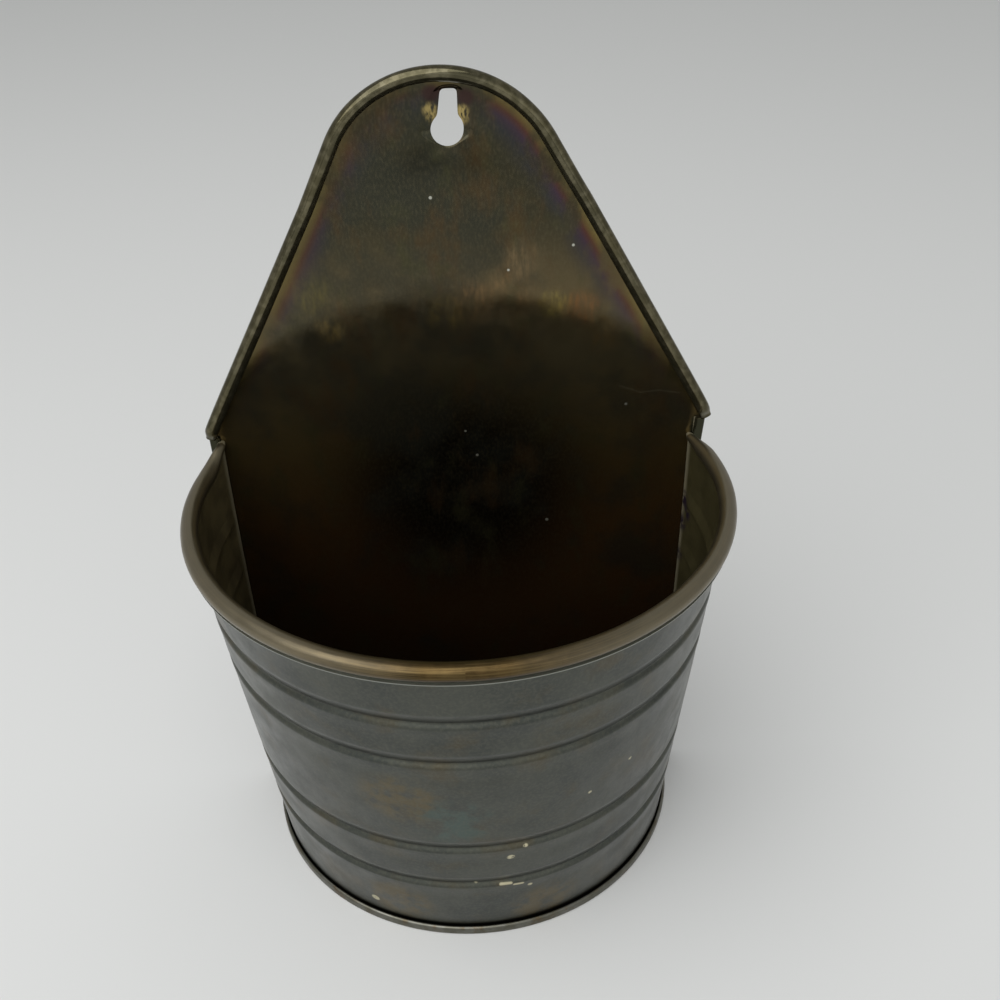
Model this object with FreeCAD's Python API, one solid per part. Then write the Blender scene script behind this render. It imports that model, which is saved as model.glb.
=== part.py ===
import FreeCAD, Part
import math
import os

from FreeCAD import Vector

# Half-round wall planter in formed sheet metal.
# Millimetres. +X is to the right, +Z up, and the pocket faces -Y.
# Every shape is drawn with the back plate's rear face on y = 0, and is moved at
# the end so that the origin lies under the middle of the whole planter.

# ---- sheet and wire -------------------------------------------------------
sheet = 0.5              # thickness of all three sheets
seam_gap = 0.1           # play between the layers of a folded seam
wire_play = 0.2          # play between a wire and the roll around it

# ---- back plate -----------------------------------------------------------
overall_height = 300.0   # top of the rolled edge above the table
arch_radius = 41.75      # outside of the rolled edge round the top
shoulder_rise = 3.5      # the rolled edge ends this far above the side seams
shoulder_half_width = 91.0
edge_roll_diameter = 5.0
edge_wire_setback = 5.0  # the wire stops short of the roll's cut ends

# ---- keyhole in the back plate --------------------------------------------
keyhole_offset = 1.5     # punched a little to the right of the middle
keyhole_drop = 20.3      # centre of the round entry below the top
entry_radius = 5.3
slot_width = 5.2         # at its top
slot_spread = 1.2        # the slot is this much wider where it meets the entry
slot_rise = 12.3         # top of the slot above the entry's centre
slot_corner_radius = 1.2
dish_width = 1.3         # the edge round the keyhole is pressed back like a dish
dish_depth = 1.0

# ---- pocket ---------------------------------------------------------------
rim_height = 164.0       # centre of the rolled rim
rim_radius = 95.0        # outside of the rolled rim
rim_setback = 33.3       # rim's axis in front of the wall
rim_roll_diameter = 5.9
rim_overhang = 3.8       # how far the roll stands out from the pocket's outside
rim_neck_radius = 0.8    # bend between the wall and the roll
foot_radius = 83.8       # outside of the seam round the base
foot_setback = 7.6       # foot's axis in front of the wall

# ---- pressed grooves round the pocket, in two pairs -----------------------
groove_heights = (137.0, 115.2, 61.6, 36.1)
groove_depth = 1.1
groove_width = 5.8       # across the mouth

# ---- side seams -----------------------------------------------------------
corner_radius = 1.0      # bend between the pocket's wall and its flange
flange_width = 3.6
fold_width = 3.0         # the back plate's edge, folded over the flange
side_seam_rise = 8.0     # top of the side seams above the rim's centre

# ---- base -----------------------------------------------------------------
seam_height = 3.6        # height of the double seam round the foot
base_recess = 3.2        # underside of the base above the table
rear_flange_height = 6.0
rear_bend_radius = 0.75

# ---- how finely it is drawn -------------------------------------------------
tight_bend = 10.0        # bends under this radius are drawn with flats
bend_flat = 45.0         # that turn at most this many degrees each
wire_flats = 6
wall_course = 20.0       # tallest single face of the pocket's wall

# ---- worked out from the values above -------------------------------------
half_sheet = sheet / 2
keyhole_height = overall_height - keyhole_drop
slot_top_height = keyhole_height + slot_rise
side_seam_top = rim_height + side_seam_rise
shoulder_height = side_seam_top + shoulder_rise
layer = sheet + seam_gap                     # from one layer of a seam to the next
wall_rim_radius = rim_radius - rim_overhang  # outside of the wall under the rim
wall_foot_radius = foot_radius - 3 * layer   # outside of the wall at the foot
edge_radius = edge_roll_diameter / 2
rim_roll_radius = rim_roll_diameter / 2
rim_roll_centre = rim_radius - rim_roll_radius
seam_hook = seam_height - 2 * layer - half_sheet   # both hooks inside the double seam
wall_bottom = seam_height + seam_gap         # the flanges start above the seam
side_seam_front = -(2 * layer + sheet)       # front face of the folded side seams
rear_stop = -layer                           # what meets the back plate ends here


# ---- sheet drawn as a folded strip -----------------------------------------

def step_along(point, heading, distance):
    """The point this far along a heading in degrees."""
    angle = math.radians(heading)
    return (point[0] + distance * math.cos(angle), point[1] + distance * math.sin(angle))


def stations_of(point, heading, size, turn):
    """Middle points along a run or bend, with the heading and reach of each side."""
    if turn == 0:
        return [(point, heading, half_sheet), (step_along(point, heading, size), heading, half_sheet)]
    if size == 0:
        return [(point, heading + turn / 2, half_sheet / math.cos(math.radians(turn / 2)))]
    count = math.ceil(abs(turn) / bend_flat) if size < tight_bend else 2
    side = math.copysign(90, turn)
    hub = step_along(point, heading + side, size)
    headings = [heading + turn * i / count for i in range(count + 1)]
    return [(step_along(hub, h - side, size), h, half_sheet) for h in headings]


def folded_strip(start, heading, moves, place):
    """Closed outline of a sheet whose middle line starts at a point and heading.

    A move is (length, 0) for a straight run, (radius, turn) for a bend of that
    middle radius, or (0, turn) for a sharp one, with the turn in degrees and
    positive to the left. place turns flat coordinates into a 3-D point.
    """
    left, right = [], []
    point = start
    for number, (size, turn) in enumerate(moves):
        stations = stations_of(point, heading, size, turn)
        for chain, side_turn in ((left, 90), (right, -90)):
            ends = [Vector(*place(*step_along(p, h + side_turn, reach)))
                    for p, h, reach in stations]
            if size == 0:
                chain[-1] = Part.makeLine(chain[-1].Vertexes[0].Point, ends[0])
                continue
            if number > 0 and moves[number - 1][0] == 0:
                ends[0] = chain[-1].Vertexes[1].Point
            if size < tight_bend or turn == 0:
                chain.extend(Part.makeLine(a, b) for a, b in zip(ends, ends[1:]))
            else:
                chain.append(Part.Arc(*ends).toShape())
        point = stations[-1][0]
        heading += turn
    end_cap = Part.makeLine(left[-1].Vertexes[-1].Point, right[-1].Vertexes[-1].Point)
    start_cap = Part.makeLine(right[0].Vertexes[0].Point, left[0].Vertexes[0].Point)
    return Part.Wire(left + [end_cap] + right[::-1] + [start_cap])


def wire_section(radius, place):
    """Outline of a wire's section about the middle of flat coordinates."""
    corners = [step_along((0, 0), 360 * i / wire_flats, radius) for i in range(wire_flats + 1)]
    return Part.makePolygon([Vector(*place(*corner)) for corner in corners])


def in_plan(height):
    """Flat coordinates become a horizontal section at this height."""
    return lambda x, y: (x, y, height)


def in_radius(setback):
    """Flat coordinates become a radial section through an upright axis."""
    return lambda radius, z: (radius, -setback, z)


def turned(outline, setback, rear=rear_stop):
    """Turn a radial section about its upright axis, and end it at the back."""
    ring = Part.Face(outline).revolve(Vector(0, -setback, 0), Vector(0, 0, 1), 360)
    reach = 2 * rim_radius
    front = Part.makeBox(2 * reach, 2 * reach, 2 * reach,
                         Vector(-reach, rear - 2 * reach, -reach))
    return ring.common(front)


def mirrored(shape):
    """The same shape on the other side of the middle plane."""
    return shape.mirror(Vector(0, 0, 0), Vector(1, 0, 0))


def joined(shapes):
    """Fuse shapes of one sheet into a single clean solid."""
    body = shapes[0].multiFuse(shapes[1:]).removeSplitter()
    return body.Solids[0] if len(body.Solids) == 1 else body


# ---- pocket's plan ----------------------------------------------------------

def wall_plan(height):
    """Middle radius and setback of the wall's round part at a height."""
    top = rim_neck_height()
    share = (height - wall_bottom) / (top - wall_bottom)
    radius = wall_foot_radius + (wall_rim_radius - wall_foot_radius) * share - half_sheet
    setback = foot_setback + (rim_setback - foot_setback) * share
    return radius, setback


def flange_start(height):
    """How far out the wall's corner bend meets the flange at a height."""
    radius, setback = wall_plan(height)
    hub_y = -(layer + half_sheet) - corner_radius
    return math.sqrt((radius + corner_radius) ** 2 - (hub_y + setback) ** 2)


def flange_line(height):
    """The same, on the straight slant from the foot to the rim and on above it."""
    low, high = flange_start(wall_bottom), flange_start(rim_neck_height())
    share = (height - wall_bottom) / (rim_neck_height() - wall_bottom)
    return low + (high - low) * share


def side_edge(height):
    """Where the back plate starts to turn round the flange's outer edge."""
    return flange_line(height) + flange_width + seam_gap


# ---- back plate ---------------------------------------------------------------

def edge_path():
    """Middle line of the rolled edge: its end, and where it meets the arch."""
    hub_z = overall_height - arch_radius
    radius = arch_radius - edge_radius
    end = (shoulder_half_width - edge_radius, shoulder_height)
    reach = math.hypot(end[0], end[1] - hub_z)
    angle = math.atan2(end[1] - hub_z, end[0]) + math.acos(radius / reach)
    tangent = (radius * math.cos(angle), hub_z + radius * math.sin(angle))
    return end, tangent, hub_z, radius, angle


def along_edge(outline_at, setback=0.0):
    """Run a section along the straight sides and round the arch.

    outline_at draws the section with its middle at a point, given the outward
    direction in the plate's plane. setback shortens both ends.
    """
    end, tangent, hub_z, radius, angle = edge_path()
    outward = Vector(math.cos(angle), 0, math.sin(angle))
    middle = Vector(tangent[0], 0, tangent[1])
    face = Part.Face(outline_at(middle, outward))
    down = Vector(end[0] - tangent[0], 0, end[1] - tangent[1])
    side = face.extrude(down * (1 - setback / down.Length))
    sweep = 180 - 2 * math.degrees(angle)
    arch = face.copy().revolve(Vector(0, 0, hub_z), Vector(0, -1, 0), sweep)
    return [side, arch, mirrored(side)]


def rolled_edge_outline(middle, outward):
    """Section of the rolled edge: the sheet turned forward into a near-closed roll."""
    clear = math.degrees(math.acos(1 - (sheet + seam_gap) / edge_radius))

    def place(u, y):
        return (middle.x + outward.x * u, y, middle.z + outward.z * u)

    moves = [(edge_radius - half_sheet, -(360 - clear))]
    return folded_strip((0, -half_sheet), 0, moves, place)


def edge_wire_outline(middle, outward):
    """Section of the wire inside the rolled edge."""
    def place(u, y):
        return (middle.x + outward.x * u, y - edge_radius, middle.z + outward.z * u)

    return wire_section(edge_radius - sheet - wire_play, place)


def keyhole(grow, y):
    """Outline of the keyhole, grown by an amount, at a depth."""
    radius = entry_radius + grow
    side = slot_width / 2 + grow
    foot = side + slot_spread / 2
    corner = slot_corner_radius + grow
    top = slot_top_height + grow
    meet = keyhole_height + math.sqrt(radius ** 2 - foot ** 2)
    bevel = corner * (1 - math.sqrt(0.5))

    def at(x, z):
        return Vector(keyhole_offset + x, y, z)

    return Part.Wire([
        Part.Arc(at(-foot, meet), at(0, keyhole_height - radius), at(foot, meet)).toShape(),
        Part.makeLine(at(foot, meet), at(side, top - corner)),
        Part.Arc(at(side, top - corner), at(side - bevel, top - bevel),
                 at(side - corner, top)).toShape(),
        Part.makeLine(at(side - corner, top), at(corner - side, top)),
        Part.Arc(at(corner - side, top), at(bevel - side, top - bevel),
                 at(-side, top - corner)).toShape(),
        Part.makeLine(at(-side, top - corner), at(-foot, meet)),
    ])


def between(*outlines):
    """Straight-sided solid through outlines with the same number of edges."""
    return Part.makeLoft(list(outlines), True, True)


def keyhole_dish():
    """The sheet round the keyhole, pressed back so that a screw head sits in it."""
    back = joined([
        between(keyhole(dish_width, -sheet), keyhole(dish_width, 0)),
        between(keyhole(dish_width, 0), keyhole(0, dish_depth)),
    ])
    front = joined([
        between(keyhole(dish_width, -sheet), keyhole(0, dish_depth - sheet)),
        between(keyhole(0, dish_depth - sheet), keyhole(0, dish_depth)),
    ])
    return back.cut(front)


def plate_flat():
    """The plate's flat sheet, up to where its edges roll and fold."""
    end, tangent, hub_z, radius, _ = edge_path()
    right = [
        Vector(side_edge(wall_bottom), 0, 0),
        Vector(side_edge(wall_bottom), 0, wall_bottom),
        Vector(side_edge(side_seam_top), 0, side_seam_top),
        Vector(end[0], 0, end[1]),
        Vector(tangent[0], 0, tangent[1]),
    ]
    left = [Vector(-p.x, 0, p.z) for p in right]
    arch = Part.Arc(right[-1], Vector(0, 0, hub_z + radius), left[-1]).toShape()
    sides = [Part.makeLine(a, b) for a, b in zip(right, right[1:])]
    sides += [arch]
    sides += [Part.makeLine(b, a) for a, b in reversed(list(zip(left, left[1:])))]
    sides += [Part.makeLine(left[0], right[0])]
    flat = Part.Face(Part.Wire(sides)).extrude(Vector(0, -sheet, 0))
    hole = between(keyhole(dish_width, -2 * sheet), keyhole(dish_width, sheet))
    return flat.cut(hole)


def plate_fold():
    """The plate's right edge, folded round the pocket's flange."""
    outlines = [
        folded_strip((side_edge(z), -half_sheet), 0, [(layer, -180), (fold_width, 0)], in_plan(z))
        for z in (wall_bottom, side_seam_top)]
    return between(*outlines)


def back_plate():
    """Arched back with its rolled edge, keyhole and folded side seams."""
    fold = plate_fold()
    pieces = [plate_flat(), keyhole_dish(), fold, mirrored(fold)]
    return joined(pieces + along_edge(rolled_edge_outline))


def back_edge_wire():
    """Wire inside the back plate's rolled edge."""
    return joined(along_edge(edge_wire_outline, edge_wire_setback))


# ---- pocket ---------------------------------------------------------------

def rim_neck():
    """Rise from the wall's top to the roll's centre, and the neck's turn."""
    wall_middle = wall_rim_radius - half_sheet
    hub = wall_middle - rim_neck_radius - rim_roll_centre
    reach = rim_roll_radius - half_sheet + rim_neck_radius
    rise = math.sqrt(reach ** 2 - hub ** 2)
    return rise, math.degrees(math.atan2(rise, -hub))


def rim_neck_height():
    """Height at which the wall ends and the rim's neck starts."""
    return rim_height - rim_neck()[0]


def wall_outline(height, inset=0.0):
    """Plan of the wall at a height: flange, corner bend, round front, and back."""
    plan_radius, setback = wall_plan(height)
    radius = plan_radius - inset
    flange_y = -(layer + half_sheet)
    hub_y = flange_y - corner_radius
    bend_end = math.sqrt((radius + corner_radius) ** 2 - (hub_y + setback) ** 2)
    lean = math.degrees(math.atan2(hub_y + setback, bend_end))
    flange_end = flange_line(height) + flange_width
    moves = [
        (flange_end - bend_end, 0),
        (corner_radius, 90 + lean),
        (radius, -(180 + 2 * lean)),
        (corner_radius, 90 + lean),
        (flange_end - bend_end, 0),
    ]
    return folded_strip((flange_end, flange_y), 180, moves, in_plan(height))


def flange_ear():
    """The right flange, carried on above the wall beside the rolled rim."""
    outlines = [
        folded_strip((flange_line(z) + flange_width, -(layer + half_sheet)), 180,
                     [(flange_width, 0)], in_plan(z))
        for z in (rim_neck_height(), side_seam_top)]
    return between(*outlines)


def rolled_rim():
    """Top of the wall, necked in a little and rolled outward."""
    rise, neck_turn = rim_neck()
    roll = rim_roll_radius - half_sheet
    clear_of_wall = (wall_rim_radius + seam_gap - rim_roll_centre) / rim_roll_radius
    around = 180 + neck_turn + math.degrees(math.acos(clear_of_wall))
    start = (wall_rim_radius - half_sheet, rim_height - rise)
    moves = [(rim_neck_radius, neck_turn), (roll, -around)]
    outline = folded_strip(start, 90, moves, in_radius(rim_setback))
    return turned(outline, rim_setback, side_seam_front - seam_gap)


def body_hook():
    """Foot of the wall, turned out and up inside the double seam."""
    moves = [
        (wall_bottom - layer - half_sheet, 0),
        (0, 90),
        (2 * layer, 0),
        (0, 90),
        (seam_hook, 0),
    ]
    outline = folded_strip((wall_foot_radius - half_sheet, wall_bottom), -90, moves,
                           in_radius(foot_setback))
    return turned(outline, foot_setback)


def wall():
    """Round wall and flanges, with a pressed groove at each groove height."""
    stations = [(wall_bottom, 0)]
    for height in sorted(groove_heights):
        mouth = groove_width / 2
        below = stations[-1][0]
        plain = height - mouth - below
        courses = math.ceil(plain / wall_course)
        stations += [(below + plain * i / courses, 0) for i in range(1, courses + 1)]
        stations += [(height, groove_depth), (height + mouth, 0)]
    stations.append((rim_neck_height(), 0))
    return between(*(wall_outline(height, inset) for height, inset in stations))


def front_shell():
    """Pocket: round wall with pressed grooves, flanges, rolled rim and foot."""
    ear = flange_ear()
    return joined([wall(), ear, mirrored(ear), rolled_rim(), body_hook()])


def rim_wire():
    """Wire inside the rolled rim."""
    def place(u, v):
        return (rim_roll_centre + u, -rim_setback, rim_height + v)

    section = wire_section(rim_roll_radius - sheet - wire_play, place)
    return turned(section, rim_setback, side_seam_front - seam_gap)


# ---- base -----------------------------------------------------------------

def base_plate():
    """Base: sunk panel, double seam round the foot, flange up the back plate."""
    inner_leg = wall_foot_radius - sheet - seam_gap - half_sheet
    outer_leg = foot_radius - half_sheet
    moves = [
        (inner_leg, 0),
        (0, -90),
        (base_recess, 0),
        (0, 90),
        (outer_leg - inner_leg, 0),
        (0, 90),
        (seam_height - sheet, 0),
        (0, 90),
        (2 * layer, 0),
        (0, 90),
        (seam_hook, 0),
    ]
    outline = folded_strip((0, base_recess + half_sheet), 0, moves, in_radius(foot_setback))
    pan = turned(outline, foot_setback)
    reach = rear_reach()
    strip_width = rear_bend_radius + half_sheet
    rear_strip = Part.makeBox(2 * reach, strip_width, seam_height,
                              Vector(-reach, rear_stop - strip_width, base_recess - half_sheet))
    return joined([pan.cut(rear_strip), rear_flange()])


def rear_reach():
    """Half the length of the base's rear flange, which ends inside the wall."""
    inside = wall_foot_radius - 2 * layer - rear_bend_radius
    return math.sqrt(inside ** 2 - foot_setback ** 2)


def rear_flange():
    """Strip along the base's rear edge, turned up against the back plate."""
    reach = rear_reach()
    bend_y = rear_stop - half_sheet - rear_bend_radius

    def place(y, z):
        return (-reach, y, z)

    outline = folded_strip((bend_y, base_recess + half_sheet), 0,
                           [(rear_bend_radius, 90), (rear_flange_height, 0)], place)
    return Part.Face(outline).extrude(Vector(2 * reach, 0, 0))


# ---- write one file per piece -----------------------------------------------

depth = rim_setback + rim_radius + dish_depth
centring = Vector(0, depth / 2 - dish_depth, 0)
pieces = {
    "back_plate": back_plate(),
    "back_edge_wire": back_edge_wire(),
    "front_shell": front_shell(),
    "rim_wire": rim_wire(),
    "base_plate": base_plate(),
}

os.makedirs("parts", exist_ok=True)
for name, shape in pieces.items():
    shape.translate(centring)
    shape.exportStep("parts/" + name + ".step")
    print(name, shape.isValid(), len(shape.Solids), round(shape.Volume / 1000, 2), "cm3")
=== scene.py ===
import math

import bmesh
import bpy
import numpy as np
from mathutils import Matrix, Vector, noise


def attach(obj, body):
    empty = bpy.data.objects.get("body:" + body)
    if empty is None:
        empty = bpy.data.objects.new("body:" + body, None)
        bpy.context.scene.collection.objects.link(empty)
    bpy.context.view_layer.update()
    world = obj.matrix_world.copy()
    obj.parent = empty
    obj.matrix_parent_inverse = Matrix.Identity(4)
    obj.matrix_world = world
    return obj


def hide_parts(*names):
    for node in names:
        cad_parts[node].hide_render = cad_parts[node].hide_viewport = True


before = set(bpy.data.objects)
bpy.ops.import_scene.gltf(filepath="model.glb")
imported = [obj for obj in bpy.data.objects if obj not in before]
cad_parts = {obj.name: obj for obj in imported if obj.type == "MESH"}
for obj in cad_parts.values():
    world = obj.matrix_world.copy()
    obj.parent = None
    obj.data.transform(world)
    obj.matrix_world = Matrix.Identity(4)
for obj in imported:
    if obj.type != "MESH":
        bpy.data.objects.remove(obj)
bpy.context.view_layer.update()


# ==== Back plate ==================================================================
# One steel sheet with an arched top. Its upper edge is rolled forward over a wire,
# a keyhole is punched under the arch with its edge pressed back like a dish, and
# the lower sides are folded round the pocket's flanges.

# Sizes are in millimetres from the wall's face, with y negative towards the front.
sheet = 0.5
layer = 0.6  # a sheet and its play in a folded seam
wall_y = 63.65
overall_height = 300.0
arch_radius = 41.75
edge_radius = 2.5
shoulder = (88.5, 175.5)
seam_bottom, seam_top = 3.7, 172.0


def along(point, heading, distance):
    """The point this far along a heading in degrees."""
    angle = math.radians(heading)
    return (point[0] + distance * math.cos(angle), point[1] + distance * math.sin(angle))


def bent_line(start, heading, moves, fine=12.0):
    """Middle line of a bent sheet: (length, 0) runs and (radius, turn) bends."""
    line = [start]
    for size, turn in moves:
        if turn == 0:
            line.append(along(line[-1], heading, size))
            continue
        side = math.copysign(90, turn)
        hub = along(line[-1], heading + side, size)
        steps = max(2, round(abs(turn) / fine))
        for step in range(1, steps + 1):
            line.append(along(hub, heading - side + turn * step / steps, size))
        heading += turn
    return line


def smooth(low, high, value):
    """0 below low, 1 above high, and an S-curve between."""
    share = min(1.0, max(0.0, (value - low) / (high - low)))
    return share * share * (3 - 2 * share)


def wobble(point, size, seed):
    """Small even unevenness of hand-worked sheet, from -1 to 1."""
    return noise.noise(Vector((point[0] / size + seed, point[1] / size, point[2] / size)))


def formed_sheet(name, grids, fills=(), thick=sheet, close=0.02, crease=32):
    """Solid sheet from grids of middle points in millimetres, joined where they meet."""
    work = bmesh.new()
    for grid in grids:
        rows = [[work.verts.new(Vector((p[0], p[1] + wall_y, p[2])) / 1000) for p in row]
                for row in grid]
        for low, high in zip(rows, rows[1:]):
            for a, b, c, d in zip(low, low[1:], high[1:], high):
                work.faces.new((a, b, c, d))
    for loops in fills:
        edges = []
        for loop in loops:
            corners = [work.verts.new(Vector((p[0], p[1] + wall_y, p[2])) / 1000) for p in loop]
            edges += [work.edges.new(pair) for pair in zip(corners, corners[1:] + corners[:1])]
        bmesh.ops.triangle_fill(work, edges=edges, use_beauty=True)
    bmesh.ops.remove_doubles(work, verts=work.verts, dist=close / 1000)
    bmesh.ops.recalc_face_normals(work, faces=work.faces)
    mesh = bpy.data.meshes.new(name)
    work.to_mesh(mesh)
    work.free()
    piece = bpy.data.objects.new(name, mesh)
    bpy.context.scene.collection.objects.link(piece)
    if thick:
        solid = piece.modifiers.new("sheet thickness", "SOLIDIFY")
        solid.thickness = thick / 1000
        solid.offset = 0
        solid.use_even_offset = True
        bpy.context.view_layer.update()
        ready = piece.evaluated_get(bpy.context.evaluated_depsgraph_get())
        piece.data = bpy.data.meshes.new_from_object(ready)
        piece.modifiers.clear()
    piece.data.shade_smooth()
    for face in piece.data.polygons:
        face.use_smooth = abs(face.normal.y) < 0.99995
    piece.data.set_sharp_from_angle(angle=math.radians(crease))
    piece.data.name = name
    return piece


# The pocket's plan, which the plate's folded sides follow.
rim_height, rim_setback = 164.0, 33.3
wall_top, wall_rim_radius = 161.05, 91.2
wall_bottom, wall_foot_radius, foot_setback = 3.7, 82.0, 7.6
bend_radius = 1.6
flange_y = -(layer + sheet / 2)
flange_foot_x, flange_top_x, flange_knocked = 86.62, 90.30, 0.8


def pocket_plan(height):
    """Middle radius of the pocket's round wall, its axis, and where its flange starts."""
    share = (height - wall_bottom) / (wall_top - wall_bottom)
    radius = wall_foot_radius + (wall_rim_radius - wall_foot_radius) * share - sheet / 2
    setback = foot_setback + (rim_setback - foot_setback) * share
    hub_y = flange_y - bend_radius
    flange_start = math.sqrt((radius + bend_radius) ** 2 - (hub_y + setback) ** 2)
    return radius, setback, hub_y, flange_start


def flange_edge(height):
    """Outer edge of the pocket's flange, on a slant, knocked in a little at the top."""
    share = (height - seam_bottom) / (seam_top - seam_bottom)
    slant = flange_foot_x + (flange_top_x - flange_foot_x) * share
    return slant - flange_knocked * smooth(140, 166, height)


def plate_side(height):
    """Where the plate's edge starts to fold."""
    return flange_edge(height) + 0.1


# The rolled edge runs up each side in a straight line and round the arch.
arch_hub = overall_height - arch_radius
arch_middle = arch_radius - edge_radius
reach = math.hypot(shoulder[0], shoulder[1] - arch_hub)
lean = math.atan2(shoulder[1] - arch_hub, shoulder[0]) + math.acos(arch_middle / reach)
tangent = (arch_middle * math.cos(lean), arch_hub + arch_middle * math.sin(lean))
side_length = math.hypot(shoulder[0] - tangent[0], shoulder[1] - tangent[1])
side_steps, arch_steps = 60, 90
edge_stations = []
for step in range(side_steps + 1):
    share = (step / side_steps) ** 1.6
    edge_stations.append((shoulder[0] + (tangent[0] - shoulder[0]) * share,
                          shoulder[1] + (tangent[1] - shoulder[1]) * share,
                          lean, side_length * share))
for step in range(1, arch_steps):
    angle = lean + (math.pi - 2 * lean) * step / arch_steps
    edge_stations.append((arch_middle * math.cos(angle), arch_hub + arch_middle * math.sin(angle),
                          angle, side_length))
edge_stations += [(-x, z, math.pi - angle, from_end)
                  for x, z, angle, from_end in reversed(edge_stations[:side_steps + 1])]

bow_right, bow_left, bow_from, bow_full = 2.3, 0.3, 262.0, 177.0
push_left, push_from, push_full = 1.2, 256.0, 286.0


def edge_bow(x, z):
    """How far the bent edge strays sideways: spread at the shoulders, pushed left on top."""
    spread = min(1.0, max(0.0, (bow_from - z) / (bow_from - bow_full)))
    pushed = min(1.0, max(0.0, (z - push_from) / (push_full - push_from)))
    return (bow_right if x > 0 else -bow_left) * spread - push_left * pushed


edge_stations = [(x + edge_bow(x, z), z, angle, from_end)
                 for x, z, angle, from_end in edge_stations]

# The roll's ends are hammered flatter, the left one neatly and the right one crumpled:
# how far up each is hammered, how much flatter, how far in, and how rough.
right_end, left_end = (5.5, 0.60, 1.1, 0.75), (4.0, 0.42, 1.5, 0.20)
stretch_length, stretch_reach = 3.4, 10.0
roll_line = bent_line((0, -sheet / 2), 0, [(edge_radius - sheet / 2, -326)])
rolled_edge = []
for x, z, angle, from_end in edge_stations:
    hammered, flatter, inset, rough = right_end if x > 0 else left_end
    stretch = stretch_length * (1 - smooth(0.0, stretch_reach, from_end))
    x += math.copysign(stretch * math.sin(lean), x) * 0.9
    z -= stretch * math.cos(lean)
    end = 1 - smooth(0.0, hammered, from_end)
    row = []
    for u, y in roll_line:
        depth = -sheet / 2 + (y + sheet / 2) * (1 - flatter * end ** 1.5)
        out = u - max(0.0, u / edge_radius) * inset * end ** 2
        point = (x + math.cos(angle) * out, depth, z + math.sin(angle) * out)
        dent = wobble(point, 3.0, 7.0) * rough * end
        dent += wobble(point, 24.0, 3.0) * 0.06
        share = min(1.0, -(y + sheet / 2) / 2.0)
        inward = min(dent, 0.0) if u > 1.5 else dent
        row.append((point[0] + math.cos(angle) * inward * share,
                    point[1] + dent * share * 0.8,
                    point[2] + math.sin(angle) * inward * share))
    rolled_edge.append(row)

# The folded sides turn round the flange and lie flat in front of it.
fold_push, fold_width = 1.1, 3.0
fold_heights = list(np.linspace(seam_bottom, seam_top, 24))


def fold_start(side, height):
    """Where a side's edge starts to fold, pushed out at the right top with the roll's end."""
    pushed = fold_push * smooth(158.0, 170.0, height) if side > 0 else 0.0
    return side * (plate_side(height) + pushed)


side_folds = []
for side in (1, -1):
    fold = []
    for z in fold_heights:
        line = bent_line((side * fold_start(side, z), -sheet / 2), 0,
                         [(layer, -180), (fold_width, 0)], 22.5)
        fold.append([(side * x, y, z) for x, y in line])
    side_folds.append(fold)

# The keyhole: a round entry that flows up into a slot, which leans a little to the
# right. The sheet round it is pressed back in a wide soft hollow.
keyhole_x, keyhole_z = 1.5, 279.7
entry_radius, slot_half, slot_spread = 5.3, 2.75, 0.5
slot_rise, slot_corner, slot_lean = 12.5, 1.3, 0.075


def keyhole_loop(grow):
    """The keyhole's outline, grown by an amount, from the slot's left top round."""
    radius, side = entry_radius + grow * 0.95, slot_half + grow * 0.9
    low_side = side + slot_spread
    corner = slot_corner + grow * 0.9
    top = slot_rise + grow * 0.33
    start = math.asin(min(0.98, math.sqrt(1 - (low_side / radius) ** 2)))
    meet = radius * math.sin(start)
    shoulders = np.linspace(0, 1, 12)
    flare = [side + slot_spread * s + (radius * math.cos(start) - low_side) * s ** 3
             for s in shoulders]
    rises = [top - corner + (meet - top + corner) * s for s in shoulders]
    half = [(side * k, top) for k in np.linspace(0, 1 - corner / side, 4)]
    half += [(side - corner + corner * math.sin(a), top - corner + corner * math.cos(a))
             for a in np.linspace(0.25, math.pi / 2, 6)]
    half += list(zip(flare, rises))[1:]
    half += [(radius * math.cos(a), radius * math.sin(a))
             for a in np.linspace(start, -math.pi / 2, 30)[1:]]
    loop = half + [(-x, z) for x, z in reversed(half[1:-1])]
    # The slot's foot and the entry meet in a soft shoulder, not a corner.
    for _ in range(3):
        loop = [((loop[i - 1][0] + 2 * loop[i][0] + loop[(i + 1) % len(loop)][0]) / 4,
                 (loop[i - 1][1] + 2 * loop[i][1] + loop[(i + 1) % len(loop)][1]) / 4)
                for i in range(len(loop))]
    return [(keyhole_x + x + slot_lean * max(0.0, z), keyhole_z + z) for x, z in loop]


hollow_reach, hollow_depth = 4.6, 1.0
hole = keyhole_loop(0)
hollow_edge = keyhole_loop(hollow_reach)
hollow_share = [0.10 + 0.90 * smooth(-4.5, 1.5, z - keyhole_z) for _, z in hole]
dish = []
for step in range(13):
    share = (step / 12) ** 0.8
    fall = 0.70 * smooth(0, 0.75, share) + 0.30 * smooth(0.7, 1, share)
    ring = []
    for (x, z), (far_x, far_z), local in zip(hole, hollow_edge, hollow_share):
        reach_out = (1 - share) * local
        ring.append((x + (far_x - x) * reach_out, -sheet / 2 + hollow_depth * local ** 0.6 * fall,
                     z + (far_z - z) * reach_out))
    dish.append(ring + ring[:1])

plate_outline = [(fold_start(1, z), -sheet / 2, z) for z in fold_heights]
plate_outline += [(x, -sheet / 2, z) for x, z, _, _ in edge_stations]
plate_outline += [(fold_start(-1, z), -sheet / 2, z) for z in reversed(fold_heights)]
plate_outline += [(side * plate_side(seam_bottom), -sheet / 2, 0) for side in (-1, 1)]
back_sheet = formed_sheet("back_sheet", [rolled_edge, dish] + side_folds,
                          [[plate_outline, dish[0][:-1]]])


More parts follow.
